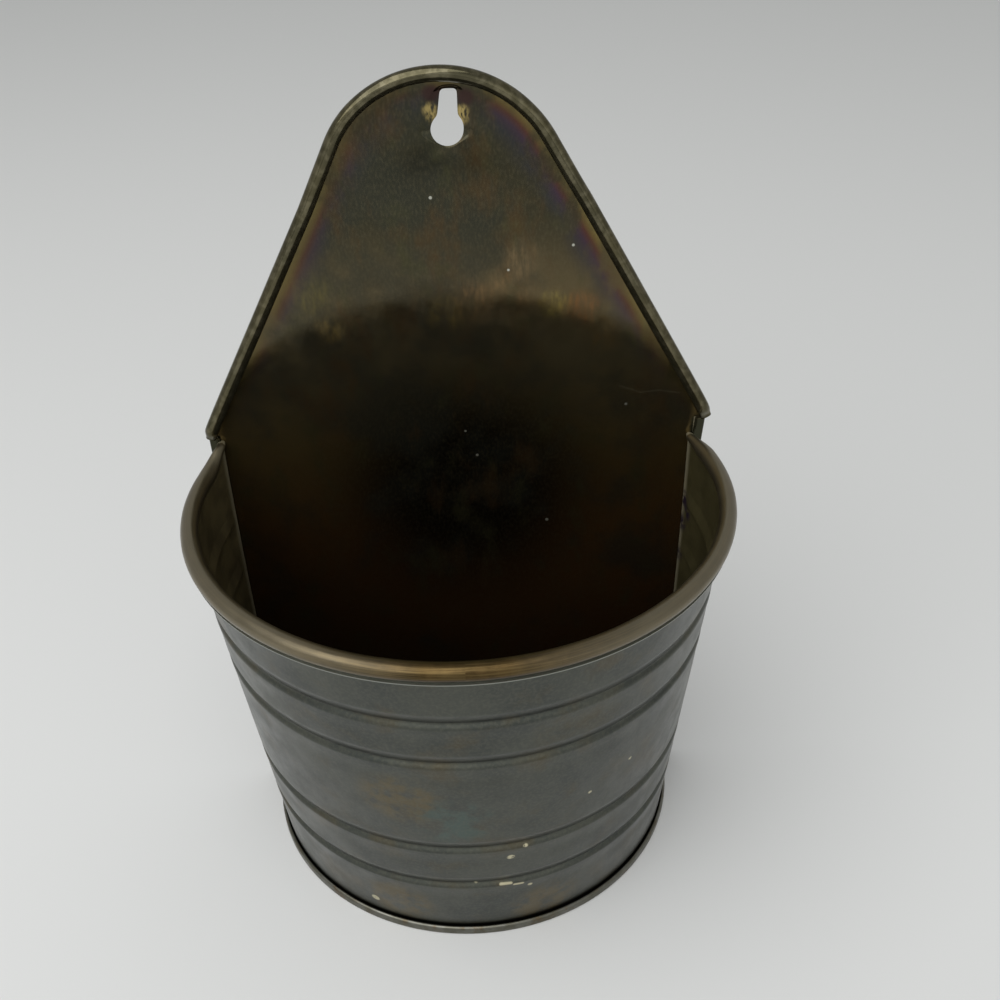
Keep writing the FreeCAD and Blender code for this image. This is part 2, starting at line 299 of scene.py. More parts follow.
def add(tree, kind, sockets=None, **settings):
    """A node of a finish, with its sockets set to values or joined to other nodes."""
    made = tree.nodes.new(kind)
    for setting, value in settings.items():
        setattr(made, setting, value)
    for socket, value in (sockets or {}).items():
        if isinstance(value, bpy.types.NodeSocket):
            tree.links.new(value, made.inputs[socket])
        else:
            made.inputs[socket].default_value = value
    return made


def mapped(tree, value, low, high, first=0.0, last=1.0):
    """A value that runs from first to last while another runs from low to high."""
    return add(tree, "ShaderNodeMapRange", {"Value": value, "From Min": low, "From Max": high,
                                            "To Min": first, "To Max": last}).outputs[0]


def patches(tree, place, size, low, high, seed=0.0, stretch=(1, 1, 1), detail=4.0):
    """Mask of cloudy patches of about this size in millimetres, from 0 to 1."""
    moved = add(tree, "ShaderNodeMapping", {
        "Vector": place, "Location": (seed, seed * 0.7, seed * 0.3), "Scale": stretch})
    cloud = add(tree, "ShaderNodeTexNoise", {"Vector": moved.outputs[0], "Scale": 1000 / size,
                                             "Detail": detail, "Roughness": 0.6})
    step = add(tree, "ShaderNodeMapRange", {"Value": cloud.outputs["Fac"], "From Min": low,
                                            "From Max": high})
    step.interpolation_type = "SMOOTHSTEP"
    return step.outputs[0]


def near(tree, place, spot, reach_mm, soft_mm):
    """Mask that is 1 at a spot in millimetres and fades out past a reach."""
    away = add(tree, "ShaderNodeVectorMath", {0: place, 1: tuple(v / 1000 for v in spot)},
               operation="DISTANCE")
    fade = add(tree, "ShaderNodeMapRange", {"Value": away.outputs["Value"],
                                            "From Min": reach_mm / 1000,
                                            "From Max": (reach_mm + soft_mm) / 1000,
                                            "To Min": 1.0, "To Max": 0.0})
    fade.interpolation_type = "SMOOTHSTEP"
    return fade.outputs[0]


def times(tree, a, b):
    """Two masks multiplied."""
    return add(tree, "ShaderNodeMath", {0: a, 1: b}, operation="MULTIPLY").outputs[0]


def over(tree, under, colour, mask):
    """A colour laid over another where a mask is 1."""
    laid = add(tree, "ShaderNodeMix", data_type="RGBA")
    tree.links.new(mask, laid.inputs[0])
    for socket, value in ((6, under), (7, colour)):
        if isinstance(value, bpy.types.NodeSocket):
            tree.links.new(value, laid.inputs[socket])
        else:
            laid.inputs[socket].default_value = (*value, 1)
    return laid.outputs[2]


def satin_metal(name):
    """A finish that starts as bare satin metal, with the place on the piece."""
    finish = bpy.data.materials.new(name)
    finish.use_nodes = True
    tree = finish.node_tree
    shader = tree.nodes["Principled BSDF"]
    shader.inputs["Metallic"].default_value = 1.0
    place = add(tree, "ShaderNodeTexCoord").outputs["Object"]
    return finish, tree, shader, place


def grain(tree, place, shader, roughness, spread, bump, seed=0.0, streak=(1, 1, 1), bow=0.0):
    """Roughness that varies over the sheet, and the fine unevenness and slow bow of its face."""
    worn = patches(tree, place, 9.0, 0.3, 0.7, seed + 5, streak)
    rough = mapped(tree, worn, 0.0, 1.0, roughness - spread, roughness + spread)
    tree.links.new(rough, shader.inputs["Roughness"])
    wave = add(tree, "ShaderNodeTexNoise", {"Vector": place, "Scale": 22.0, "Detail": 1.0})
    pits = add(tree, "ShaderNodeTexNoise", {"Vector": place, "Scale": 900.0, "Detail": 3.0})
    height = add(tree, "ShaderNodeMath", {0: pits.outputs["Fac"], 1: 0.012, 2: wave.outputs["Fac"]},
                 operation="MULTIPLY_ADD")
    height = add(tree, "ShaderNodeMath", {0: height.outputs[0], 1: bow})
    uneven = add(tree, "ShaderNodeBump", {"Height": height.outputs[0], "Strength": bump,
                                          "Distance": 0.004})
    tree.links.new(uneven.outputs[0], shader.inputs["Normal"])


def ramp(tree, value, low, high, stops):
    """Colours along a value, each stop at its place between low and high."""
    blend = add(tree, "ShaderNodeValToRGB", {"Fac": mapped(tree, value, low, high)})
    marks = blend.color_ramp.elements
    while len(marks) < len(stops):
        marks.new(0.5)
    for mark, (at, colour) in zip(marks, stops):
        mark.position = (at - low) / (high - low)
        mark.color = (*colour, 1)
    return blend.outputs["Color"]


def sums(tree, operation, a, b, c=0.0):
    """One step of arithmetic between masks and numbers."""
    return add(tree, "ShaderNodeMath", {0: a, 1: b, 2: c}, operation=operation).outputs[0]


def rolled_edge_distance(tree, split):
    """Millimetres in from the rolled edge's inner line, along the sides and the arch."""
    high = split.outputs["Z"]
    across = sums(tree, "MULTIPLY", sums(tree, "ABSOLUTE", split.outputs["X"], 0.0), 1000.0)
    spread = mapped(tree, high, bow_from / 1000, bow_full / 1000)
    pushed = mapped(tree, high, push_from / 1000, push_full / 1000, 0.0, push_left)
    right = sums(tree, "GREATER_THAN", split.outputs["X"], 0.0)
    bow = sums(tree, "MULTIPLY_ADD", right, bow_right - bow_left, bow_left)
    push = sums(tree, "MULTIPLY_ADD", right, -2.0, 1.0)
    across = sums(tree, "SUBTRACT", across, sums(tree, "MULTIPLY", spread, bow))
    across = sums(tree, "SUBTRACT", across, sums(tree, "MULTIPLY", pushed, push))
    up = sums(tree, "MULTIPLY_ADD", high, 1000.0, -arch_hub)
    to_side = sums(tree, "MULTIPLY_ADD", across, math.cos(lean),
                   sums(tree, "MULTIPLY", up, math.sin(lean)))
    to_arch = sums(tree, "MULTIPLY_ADD", across, across, sums(tree, "MULTIPLY", up, up))
    to_arch = sums(tree, "SQRT", to_arch, 0.0)
    past = sums(tree, "MULTIPLY_ADD", across, -math.sin(lean),
                sums(tree, "MULTIPLY", up, math.cos(lean)))
    on_arch = sums(tree, "GREATER_THAN", past, 0.0)
    beyond = sums(tree, "SUBTRACT", to_arch, to_side)
    outward = sums(tree, "MULTIPLY_ADD", on_arch, beyond, to_side)
    return sums(tree, "SUBTRACT", arch_middle - edge_radius, outward)


def scratch(tree, place, start, end, width):
    """Mask of a fine straight scratch between two points in millimetres."""
    start, end = Vector(start) / 1000, Vector(end) / 1000
    run = end - start
    offset = add(tree, "ShaderNodeVectorMath", {0: place, 1: tuple(start)},
                 operation="SUBTRACT").outputs[0]
    share = add(tree, "ShaderNodeVectorMath", {0: offset, 1: tuple(run / run.length_squared)},
                operation="DOT_PRODUCT").outputs["Value"]
    share = add(tree, "ShaderNodeClamp", {"Value": share}).outputs[0]
    foot = add(tree, "ShaderNodeVectorMath", {0: tuple(run), "Scale": share},
               operation="SCALE").outputs[0]
    away = add(tree, "ShaderNodeVectorMath", {0: offset, 1: foot},
               operation="DISTANCE").outputs["Value"]
    return mapped(tree, away, width / 2000, width / 900, 1.0, 0.0)


# Antique bronze patina: dark olive under the arch, warmer and redder lower down, with
# brass rubs in an upright grain and a heat tint that follows the rolled edge. The colour by
# height also carries painted reflections: the top under the arch is painted darker for the
# dim room it mirrors, and the band from 200 to 225 mm is painted lighter for the bright
# floor it mirrors above the pocket's rim.
back_finish, tree, shader, place = satin_metal("bronze_patina_back")
split = add(tree, "ShaderNodeSeparateXYZ", {0: place})
inward = rolled_edge_distance(tree, split)
height_mm = sums(tree, "MULTIPLY", split.outputs["Z"], 1000.0)
# Painted reflections in this ramp: darker from 250 mm up, lighter from 200 to 225 mm.
colour = ramp(tree, height_mm, 60.0, 300.0, [
    (60.0, (0.075, 0.035, 0.012)), (125.0, (0.105, 0.052, 0.016)), (165.0, (0.100, 0.070, 0.026)),
    (200.0, (0.100, 0.082, 0.042)), (225.0, (0.104, 0.080, 0.041)), (250.0, (0.041, 0.037, 0.022)),
    (300.0, (0.030, 0.028, 0.016))])
# Painted shade: the plate's middle, deep inside the pocket, is painted near black.
middle = near(tree, place, (2, 63, 146), 18, 50)
colour = over(tree, colour, (0.005, 0.005, 0.004), times(tree, middle, 0.95))
for tone, share, cloud in (((0.034, 0.036, 0.027), 0.65, (30, 0.44, 0.66, 1.0)),
                           ((0.085, 0.050, 0.020), 0.6, (15, 0.50, 0.72, 2.0, (1, 1, 0.5))),
                           ((0.060, 0.058, 0.026), 0.6, (12, 0.52, 0.74, 23.0, (1, 1, 0.6)))):
    colour = over(tree, colour, tone, times(tree, patches(tree, place, *cloud), share))
speckle = patches(tree, place, 0.8, 0.42, 0.70, 8.0, (1, 1, 0.45), 6.0)
colour = over(tree, colour, (0.125, 0.108, 0.062), times(tree, speckle, 0.22))
# Brass and copper rubs above the pocket, in fine upright streaks.
streaks = patches(tree, place, 1.5, 0.40, 0.68, 3.0, (1, 1, 0.25), 7.0)
streaked = sums(tree, "MULTIPLY_ADD", streaks, 0.65, 0.35)
blots = patches(tree, place, 9, 0.36, 0.60, 9.0, (1, 1, 0.55))
for x, z, size, tone in ((-2, 217, 5, (0.22, 0.165, 0.055)), (8, 221, 6, (0.20, 0.130, 0.062)),
                         (20, 224, 7, (0.19, 0.125, 0.060)), (25, 236, 5, (0.16, 0.115, 0.060)),
                         (36, 219, 4, (0.30, 0.235, 0.065)), (45, 217, 5, (0.22, 0.105, 0.040)),
                         (52, 206, 5, (0.17, 0.110, 0.040)), (66, 207, 5, (0.13, 0.125, 0.040)),
                         (-50, 226, 7, (0.12, 0.100, 0.040)), (-42, 213, 4, (0.26, 0.190, 0.070))):
    spot = (x, 63, z)
    rub = times(tree, near(tree, place, spot, size * 0.5, size * 1.3), blots)
    colour = over(tree, colour, tone, times(tree, rub, times(tree, streaked, 0.85)))
# Heat tint along the rolled edge: brass, then red, then violet, more on the right.
tint = ramp(tree, inward, 0.0, 14.0, [
    (0.0, (0.17, 0.135, 0.050)), (1.5, (0.130, 0.088, 0.032)), (3.0, (0.085, 0.036, 0.028)),
    (5.0, (0.052, 0.032, 0.052)), (8.0, (0.030, 0.032, 0.046)), (14.0, (0.040, 0.038, 0.028))])
fade = ramp(tree, inward, 0.0, 14.0, [
    (0.0, (1, 1, 1)), (4.0, (0.9,) * 3), (8.0, (0.5,) * 3), (14.0, (0,) * 3)])
along_edge = ramp(tree, height_mm, 170.0, 300.0, [
    (170.0, (0.0,) * 3), (176.0, (0.1,) * 3), (200.0, (0.55,) * 3), (238.0, (1,) * 3),
    (275.0, (1,) * 3), (300.0, (0.45,) * 3)])
side_share = mapped(tree, split.outputs["X"], -0.02, 0.02, 0.60, 1.0)
amount = times(tree, times(tree, fade, along_edge), side_share)
uneven = mapped(tree, patches(tree, place, 11, 0.40, 0.62, 4.0, (1, 1, 0.6)), 0.0, 1.0, 0.15, 1.0)
colour = over(tree, colour, tint, times(tree, amount, uneven))
# Round the keyhole: the hollows beside the slot are painted dark violet brown as shade, and painted
# brass highlights sit where the sheet bends.
for spot, reach_mm in (((-3.0, 63.5, 291.0), 1.3), ((7.6, 63.5, 289.5), 1.3)):
    painted_hollow_shade = times(tree, near(tree, place, spot, reach_mm, 2.6), 0.85)
    colour = over(tree, colour, (0.040, 0.022, 0.020), painted_hollow_shade)
for spot, reach_mm in (((-3.6, 63.7, 286.0), 1.0), ((-2.9, 63.7, 284.0), 0.8),
                       ((6.6, 63.7, 285.0), 0.8), ((6.2, 63.7, 283.0), 0.8)):
    painted_keyhole_highlight = near(tree, place, spot, reach_mm, 2.2)
    highlight_breakup = patches(tree, place, 1.3, 0.36, 0.60, 6.0, (1, 1, 0.4))
    colour = over(tree, colour, (0.34, 0.26, 0.10), times(tree, painted_keyhole_highlight, highlight_breakup))
# The hammered bead is painted paler than the sheet: rubbed patches, and a painted sheen for the
# bright ceiling it reflects.
bead = ramp(tree, inward, -3.0, 0.0, [(-3.0, (1, 1, 1)), (-0.5, (1, 1, 1)), (-0.1, (0,) * 3)])
rubbed_and_sheen = over(tree, (0.070, 0.064, 0.038), (0.135, 0.122, 0.078),
              patches(tree, place, 3.2, 0.40, 0.66, 10.0))
above_seam = ramp(tree, height_mm, 171.0, 175.0, [(171.0, (0,) * 3), (173.0, (1,) * 3)])
colour = over(tree, colour, rubbed_and_sheen, times(tree, times(tree, bead, above_seam), 0.85))
# The folded sides below it are dark.
below_seam = ramp(tree, height_mm, 171.0, 175.0, [(171.0, (1,) * 3), (174.0, (0,) * 3)])
out_at_side = mapped(tree, sums(tree, "ABSOLUTE", split.outputs["X"], 0.0), 0.0860, 0.0868)
colour = over(tree, colour, (0.036, 0.036, 0.022), times(tree, below_seam, out_at_side))
# A few specks of dust and one long fine scratch.
for spot, size in (((-5.0, 63.1, 258.0), 0.35), ((42.0, 63.1, 240.0), 0.3),
                   ((7.0, 63.1, 159.5), 0.35), ((33.0, 63.1, 129.0), 0.45),
                   ((3.0, 63.1, 170.0), 0.25), ((62.0, 63.1, 178.5), 0.35),
                   ((20.0, 63.1, 232.0), 0.25)):
    colour = over(tree, colour, (0.42, 0.42, 0.36), near(tree, place, spot, size, 0.35))
scratch_line = [(59.5, 63.1, 186.0), (64.0, 63.1, 184.3), (67.0, 63.1, 183.0), (74.0, 63.1, 183.6),
                (81.5, 63.1, 182.2)]
for start, end in zip(scratch_line, scratch_line[1:]):
    fine_mark = times(tree, scratch(tree, place, start, end, 0.35), 0.5)
    colour = over(tree, colour, (0.16, 0.14, 0.09), fine_mark)
tree.links.new(colour, shader.inputs["Base Color"])
shader.inputs["Metallic"].default_value = 0.84
shader.inputs["Specular IOR Level"].default_value = 0.15
# The sheet is bowed a little, which shows in its reflections: it falls back above the
# pocket's rim and towards both sides, more so on the left.
fall_from, fall_to, fall_back = 0.150, 0.240, -7.5
fall_sides, fall_left = -900.0, 550.0
leaning = add(tree, "ShaderNodeMapRange", {"Value": split.outputs["Z"], "From Min": fall_from,
                                           "From Max": fall_to, "To Max": fall_back})
leaning.interpolation_type = "SMOOTHSTEP"
to_side = sums(tree, "MULTIPLY", split.outputs["X"], split.outputs["X"])
to_left = sums(tree, "MULTIPLY", split.outputs["X"],
               sums(tree, "ABSOLUTE", split.outputs["X"], 0.0))
bowed = sums(tree, "MULTIPLY_ADD", to_side, fall_sides, leaning.outputs[0])
bowed = sums(tree, "MULTIPLY_ADD", to_left, fall_left, bowed)
grain(tree, place, shader, 0.12, 0.05, 0.05, 1.0, bow=bowed)

back_sheet.data.materials.append(back_finish)
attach(back_sheet, "root")
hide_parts("back_plate")


# ==== Wires =======================================================================
# Plain steel wires lie inside the rolled edge of the plate and inside the pocket's
# rolled rim, and stiffen both. They stop short of the rolls' hammered ends, so neither
# can be seen.

roll_centre = 92.05
rim_wire_radius = 1.75
rim_wire_line = []
for heading in np.linspace(math.radians(-170), math.radians(-10), 161):
    around = []
    for bearing in np.linspace(0, 2 * math.pi, 17):
        r = roll_centre + rim_wire_radius * math.cos(bearing)
        around.append((r * math.cos(heading), -rim_setback + r * math.sin(heading),
                       rim_height + rim_wire_radius * math.sin(bearing)))
    rim_wire_line.append(around)
steel_wire = formed_sheet("steel_wire", [rim_wire_line],
                          [[rim_wire_line[0][:-1]], [rim_wire_line[-1][:-1]]], thick=0)

edge_wire_radius, edge_wire_start = 1.6, 7.0
edge_wire_line = []
for x, z, angle, from_end in edge_stations:
    if from_end > edge_wire_start:
        around = []
        for bearing in np.linspace(0, 2 * math.pi, 17):
            u, v = edge_wire_radius * math.cos(bearing), edge_wire_radius * math.sin(bearing)
            around.append((x + math.cos(angle) * u, -edge_radius + v, z + math.sin(angle) * u))
        edge_wire_line.append(around)
edge_wire = formed_sheet("edge_wire", [edge_wire_line],
                         [[edge_wire_line[0][:-1]], [edge_wire_line[-1][:-1]]], thick=0)

wire_finish, tree, shader, place = satin_metal("wire_steel")
rust = patches(tree, place, 4, 0.4, 0.65, 8.0)
colour = over(tree, (0.20, 0.19, 0.17), (0.10, 0.08, 0.06), rust)
tree.links.new(colour, shader.inputs["Base Color"])
grain(tree, place, shader, 0.42, 0.06, 0.2, 2.0)
for wire, replaced in ((steel_wire, "rim_wire"), (edge_wire, "back_edge_wire")):
    wire.data.materials.append(wire_finish)
    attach(wire, "root")
    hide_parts(replaced)


# ==== Pocket ======================================================================
# A second sheet, bent to a half round that widens upward, with flanges in the folded
# side seams and two pairs of rolled grooves. Its top is necked in and rolled outward
# over a wire, and the roll's ends are hammered flat against the plate.

groove_heights = (137.0, 115.2, 61.6, 36.1)
groove_shape = [(-13.0, 0.0), (-8.4, 0.10), (-2.2, -0.10), (-1.7, 0.0), (-0.1, 1.20),
                (0.25, 1.24), (0.8, 1.10), (4.9, 0.04), (5.4, 0.0), (13.0, 0.0)]


def groove_inset(height):
    """How far the wall is pressed in at a height."""
    inset = 0.0
    for middle in groove_heights:
        rise = height - middle
        if -13.0 < rise < 13.0:
            heights, depths = zip(*groove_shape)
            inset += float(np.interp(rise, heights, depths))
    return inset


rim_end_y = -0.75
lift_left, lift_right, lift_reach = 7.6, 2.6, 17.0


def end_lift(x, y):
    """How much higher the wall's top is drawn up towards the rim's two ends."""
    from_end = max(0.0, rim_end_y - y)
    return (lift_left if x < 0 else lift_right) * (1 - smooth(0.0, lift_reach, from_end)) ** 1.6


wall_heights = [1.0, 2.2, wall_bottom]
height = wall_bottom
while height < wall_top - 0.6:
    nearest = min(abs(height - middle) for middle in groove_heights)
    height += 0.36 if nearest < 6.0 else 1.6
    wall_heights.append(min(height, wall_top))
insets = np.array([groove_inset(h) for h in wall_heights])
insets = np.convolve(np.pad(insets, 1, "edge"), (0.25, 0.5, 0.25), "valid")

lift_from = 148.0
wall_rows = []
for height, inset in zip(wall_heights, insets):
    plan_height = max(height, wall_bottom)
    radius, setback, hub_y, flange_start = pocket_plan(plan_height)
    turn = math.degrees(math.atan2(hub_y + setback, flange_start))
    row = []
    if height >= wall_bottom:
        for x in np.linspace(flange_edge(height), flange_start, 4):
            row.append((x, flange_y))
    else:
        row += [(flange_start, flange_y)] * 4
    row += [along((flange_start, hub_y), 90 + a, bend_radius)
            for a in np.linspace(0, 90 + turn, 9)[1:]]
    side = [(-x, y) for x, y in reversed(row)]
    for step, heading in enumerate(np.linspace(turn, -180 - turn, 181)[1:-1]):
        end = min(step + 1, 179 - step)
        row.append(along((0, -setback), heading, radius - inset * smooth(0, 6, end)))
    wall_rows.append([(x, y, height + end_lift(x, y) * smooth(lift_from, wall_top, height))
                      for x, y in row + side])

# The flanges go on up beside the rim.
ears = []
for side in (1, -1):
    ear = []
    start = wall_top + end_lift(side, flange_y)
    for z in np.linspace(start, seam_top, 8):
        low = pocket_plan(wall_top)[3] + (z - start) * 0.02
        ear.append([(side * x, flange_y, z) for x in np.linspace(flange_edge(z), low, 4)])
    ears.append(ear)

# The neck and roll, turned round the rim's own axis. The sheet's free edge flares out
# again under the roll as a thin lip. Towards both ends the roll is hammered down to a
# point against the plate, and the wall is drawn up with it, higher on the left.
neck_radius, roll_radius = 0.8, 2.7
across = wall_rim_radius - sheet / 2 - neck_radius - roll_centre
rise = math.sqrt((roll_radius + neck_radius) ** 2 - across ** 2)
neck_turn = math.degrees(math.atan2(rise, -across))
rim_line = bent_line((wall_rim_radius - sheet / 2, rim_height - rise), 90,
                     [(neck_radius, neck_turn), (roll_radius, -(255 + neck_turn)), (0.3, 150),
                      (1.35, 0)], 14)
rim_grid = []
for number, (radius, z) in enumerate(rim_line):
    row = []
    for side in np.linspace(-1, 1, 261):
        eased = max(-1, min(1, side * (1.35 - 0.35 * side * side)))
        limit = math.asin((rim_end_y + rim_setback) / radius)
        heading = -math.pi / 2 + eased * (math.pi / 2 + limit)
        x, y = radius * math.cos(heading), -rim_setback + radius * math.sin(heading)
        from_end = rim_end_y - y
        full = 0.14 + 0.86 * smooth(-5.0, 15.0, from_end)
        r = rim_line[0][0] + (radius - rim_line[0][0]) * full
        h = rim_line[0][1] + (z - rim_line[0][1]) * full + end_lift(x, y)
        dent = wobble((x, y, h), 30, 5.0) * 0.10
        r += 1.2 * (1 - smooth(0.0, 3.0, from_end))
        if number > 2:
            r -= 0.20 + dent
        row.append((r * math.cos(heading), -rim_setback + r * math.sin(heading), h))
    rim_grid.append(row)

pocket_sheet = formed_sheet("pocket_sheet", [wall_rows] + ears + [rim_grid], close=0.005, crease=40)

# The inside was never polished: its faces take a finish of their own.
for face in pocket_sheet.data.polygons:
    middle, out = face.center * 1000, face.normal
    middle.z -= end_lift(middle.x, middle.y - wall_y) * smooth(lift_from, wall_top, middle.z)
    setback = pocket_plan(min(middle.z, wall_top))[1]
    toward = Vector((-middle.x, -setback - (middle.y - wall_y), 0))
    under_roll = middle.z < 161.3 and (middle.z < 160 or toward.length < wall_rim_radius - 0.3)
    faces_in = out.dot(toward) > 0 and under_roll
    if abs(middle.y - wall_y) < 2.6 and middle.z > 3.7:
        faces_in = out.y < 0.3 and abs(middle.x) < pocket_plan(min(middle.z, wall_top))[3] + 0.6
    if faces_in or (157 < middle.z < 161.3 and abs(middle.y - wall_y) < 6):
        face.material_index = 1


def from_axis(tree, place, setback):
    """The place measured from an upright axis, and how far from it in millimetres."""
    about = add(tree, "ShaderNodeVectorMath", {0: place, 1: (0, (wall_y - setback) / 1000, 0)},
                operation="SUBTRACT").outputs[0]
    level = add(tree, "ShaderNodeVectorMath", {0: about, 1: (1, 1, 0)},
                operation="MULTIPLY").outputs[0]
    length = add(tree, "ShaderNodeVectorMath", {0: level}, operation="LENGTH").outputs["Value"]
    return about, sums(tree, "MULTIPLY", length, 1000.0)


# Gunmetal patina: dark grey green with brown clouds, worn to bronze on the rolled rim,
# which carries fine marks along its length from the rolling.
pocket_finish, tree, shader, place = satin_metal("gunmetal_patina_pocket")
split = add(tree, "ShaderNodeSeparateXYZ", {0: place})
colour = over(tree, (0.074, 0.078, 0.066), (0.054, 0.059, 0.053),
              patches(tree, place, 30, 0.35, 0.65, 11.0))
colour = over(tree, colour, (0.084, 0.072, 0.046),
              times(tree, patches(tree, place, 17, 0.50, 0.72, 12.0), 0.8))
for spot, size in (((-23.8, -42.3, 92.4), 9), ((-29.5, -23.6, 17.7), 8), ((25.2, -24.3, 14.0), 8)):
    brown = times(tree, near(tree, place, spot, size, 9),
                  patches(tree, place, 7, 0.35, 0.6, 13.0))
    colour = over(tree, colour, (0.115, 0.092, 0.050), brown)
teal = times(tree, near(tree, place, (-7.0, -44.0, 80.0), 9, 8),
             patches(tree, place, 8, 0.4, 0.6, 17.0))
colour = over(tree, colour, (0.070, 0.098, 0.086), teal)
speckle = patches(tree, place, 1.1, 0.40, 0.68, 21.0, detail=5.0)
colour = over(tree, colour, (0.125, 0.124, 0.098), times(tree, speckle, 0.35))
about, rim_radius_mm = from_axis(tree, place, rim_setback)
turn = add(tree, "ShaderNodeSeparateXYZ", {0: about})
bearing = sums(tree, "MULTIPLY", sums(tree, "ARCTAN2", turn.outputs["X"], turn.outputs["Y"]), 90.0)
height_mm = sums(tree, "MULTIPLY", split.outputs["Z"], 1000.0)
rolled = add(tree, "ShaderNodeCombineXYZ", {"X": bearing, "Y": rim_radius_mm, "Z": height_mm})
marks = add(tree, "ShaderNodeVectorMath", {0: rolled.outputs[0], 1: (0.00006, 0.0024, 0.0024)},
            operation="MULTIPLY").outputs[0]
lines = patches(tree, marks, 1.0, 0.36, 0.66, 18.0, detail=3.0)
bead = over(tree, (0.041, 0.025, 0.008), (0.072, 0.045, 0.016),
            patches(tree, place, 6, 0.38, 0.66, 14.0))
bead = over(tree, bead, (0.138, 0.096, 0.038), times(tree, lines, 0.6))
# Painted sheen: the bead's inner side is painted lighter olive brown.
painted_inner_sheen = mapped(tree, rim_radius_mm, 90.6, 92.4, 1.0, 0.0)
bead = over(tree, bead, (0.150, 0.125, 0.055), times(tree, painted_inner_sheen, 0.55))
# Painted highlights: the bead is painted paler towards both sides than at the front middle.
painted_side_highlights = mapped(tree, sums(tree, "ABSOLUTE", split.outputs["X"], 0.0), 0.012, 0.055)
bead = over(tree, bead, (0.24, 0.215, 0.155), times(tree, painted_side_highlights, 0.6))
# Painted highlight: the thin lip under the roll is painted pale grey, for the floor it reflects.
lip_out = mapped(tree, rim_radius_mm, 92.6, 93.0)
lip_low = mapped(tree, split.outputs["Z"], 0.1613, 0.1616, 1.0, 0.0)
bead = over(tree, bead, (0.26, 0.27, 0.24), times(tree, lip_out, lip_low))
colour = over(tree, colour, bead, mapped(tree, split.outputs["Z"], 0.1599, 0.1603))
# Painted shade: the wall's foot, in the crevice above the ring, is painted near black.
painted_joint_shade = mapped(tree, split.outputs["Z"], 0.0048, 0.0062, 1.0, 0.0)
colour = over(tree, colour, (0.010, 0.009, 0.006), times(tree, painted_joint_shade, 0.92))
for spot, reach_mm in (((12.3, -36.2, 54.0), 1.0), ((-0.5, -32.4, 36.5), 0.35),
                       ((17.5, -36.5, 60.0), 0.45), ((19.3, -29.7, 30.6), 0.5),
                       ((-39.2, -18.0, 13.0), 1.3), ((39.9, -33.5, 81.9), 0.35),
                       ((54.4, -25.7, 89.1), 0.35)):
    chip = times(tree, near(tree, place, spot, reach_mm, 0.7),
                 patches(tree, place, 1.2, 0.30, 0.5, 19.0))
    colour = over(tree, colour, (0.58, 0.53, 0.36), chip)
for start, end in (((8.6, -32.3, 34.6), (12.2, -32.0, 34.4)),
                   ((13.6, -31.6, 33.2), (16.4, -31.0, 33.0))):
    colour = over(tree, colour, (0.55, 0.50, 0.34), scratch(tree, place, start, end, 0.8))
tree.links.new(colour, shader.inputs["Base Color"])
shader.inputs["Metallic"].default_value = 0.92
grain(tree, place, shader, 0.34, 0.05, 0.16, 3.0)

# Inside: dull brown olive, half oxide, with dark heat stains near the right seam.
inside_finish, tree, shader, place = satin_metal("dull_inside_of_pocket")
shader.inputs["Metallic"].default_value = 0.45
colour = over(tree, (0.150, 0.122, 0.058), (0.085, 0.068, 0.034),
              patches(tree, place, 13, 0.36, 0.66, 31.0))
split = add(tree, "ShaderNodeSeparateXYZ", {0: place})
# Painted shade: the inside is painted darker towards the right.
painted_right_shade = mapped(tree, split.outputs["X"], 0.010, 0.070)
colour = over(tree, colour, (0.045, 0.042, 0.016), times(tree, painted_right_shade, 0.7))
# Painted highlight: the bend near the plate is painted pale.
painted_bend_highlight = mapped(tree, split.outputs["Y"], 0.0585, 0.0605)
colour = over(tree, colour, (0.30, 0.27, 0.18), times(tree, painted_bend_highlight, 0.85))
for spot, reach_mm in (((84.6, 60.6, 138.0), 2.0), ((84.0, 60.0, 127.0), 1.8),
                       ((83.0, 60.0, 112.0), 1.6), ((85.5, 57.0, 133.0), 1.0)):
    stain = times(tree, near(tree, place, spot, reach_mm, 3.5),
                  patches(tree, place, 2.5, 0.35, 0.55, 16.0))
    colour = over(tree, colour, (0.022, 0.014, 0.030), stain)
tree.links.new(colour, shader.inputs["Base Color"])
grain(tree, place, shader, 0.42, 0.06, 0.16, 6.0)

pocket_sheet.data.materials.append(pocket_finish)
pocket_sheet.data.materials.append(inside_finish)
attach(pocket_sheet, "root")
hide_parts("front_shell")


# ==== Base ========================================================================
# A third sheet closes the foot. It is sunk inside the pocket, and its edge and the
# wall's foot are folded together in a double seam, which makes the ring that the
# planter stands on. The joint between ring and wall is painted near black as shade.

base_height, ring_radius = 3.45, 83.45
turn_in = 81.15
ring_line = bent_line((80.4, base_height), 0, [
    (turn_in - 80.4 - 0.3, 0), (0.3, -90), (2.55, 0), (0.3, 90), (ring_radius - turn_in - 0.95, 0),
    (0.65, 90), (2.05, 0), (0.6, 180), (1.2, 0)], 18)
base_end_y = -0.6

